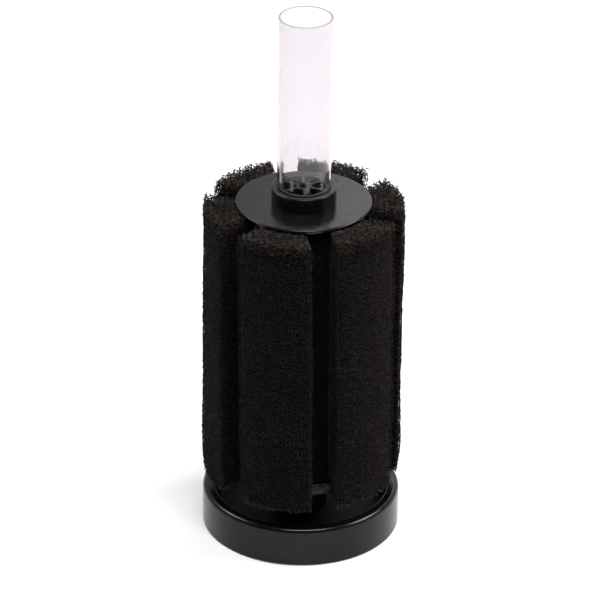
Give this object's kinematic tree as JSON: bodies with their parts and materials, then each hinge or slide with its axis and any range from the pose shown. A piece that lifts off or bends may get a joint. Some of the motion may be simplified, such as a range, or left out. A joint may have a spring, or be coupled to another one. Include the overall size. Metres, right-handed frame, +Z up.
{
  "type": "sponge filter",
  "caption": "Air-lift sponge filter: a weighted round base, a slotted core, a lobed foam sleeve between two discs, and a clear uplift tube with a spoked air inlet.",
  "frame": {"origin": "middle of the underside, on the surface the filter stands on", "axes": "+Z up, along the uplift tube; -Y is the front, where the sponge's first slot is 12 degrees towards +X; +X is to the right"},
  "size_m": [0.093, 0.093, 0.2602],
  "materials": {
    "moulded_black": "polished black moulding",
    "matt_black": "fine-textured black moulding",
    "foam": "open-cell reticulated foam, black",
    "clear_tube": "clear extruded acrylic, polished",
    "ballast_steel": "plain steel disc, painted",
    "steel": "stainless, turned",
    "seal_rubber": "soft black rubber"
  },
  "bodies": {
    "base": {"base_shell": "moulded_black", "base_cover": "matt_black", "cover_screw": "steel", "cover_gasket": "seal_rubber", "ballast_disc": "ballast_steel"},
    "core": {"lower_flange": "moulded_black", "strainer_core": "matt_black"},
    "sponge": {"sponge": "foam"},
    "cap": {"top_flange": "moulded_black", "air_spider": "moulded_black", "air_pipe": "matt_black", "air_jet": "matt_black"},
    "tube": {"uplift_tube": "clear_tube"}
  },
  "joints": [
    {"name": "core_lift", "type": "slide", "parent": "base", "child": "core", "axis": [0, 0, 1], "range_m": [0, 0.03]},
    {"name": "cap_lift", "type": "slide", "parent": "core", "child": "cap", "axis": [0, 0, 1], "range_m": [0, 0.29]},
    {"name": "sponge_lift", "type": "slide", "parent": "core", "child": "sponge", "axis": [0, 0, 1], "range_m": [0, 0.145]},
    {"name": "tube_lift", "type": "slide", "parent": "cap", "child": "tube", "axis": [0, 0, 1], "range_m": [0, 0.03]}
  ],
  "couplings": [
    {"joint": "sponge_lift", "follows": "cap_lift", "ratio": 0.5}
  ]
}
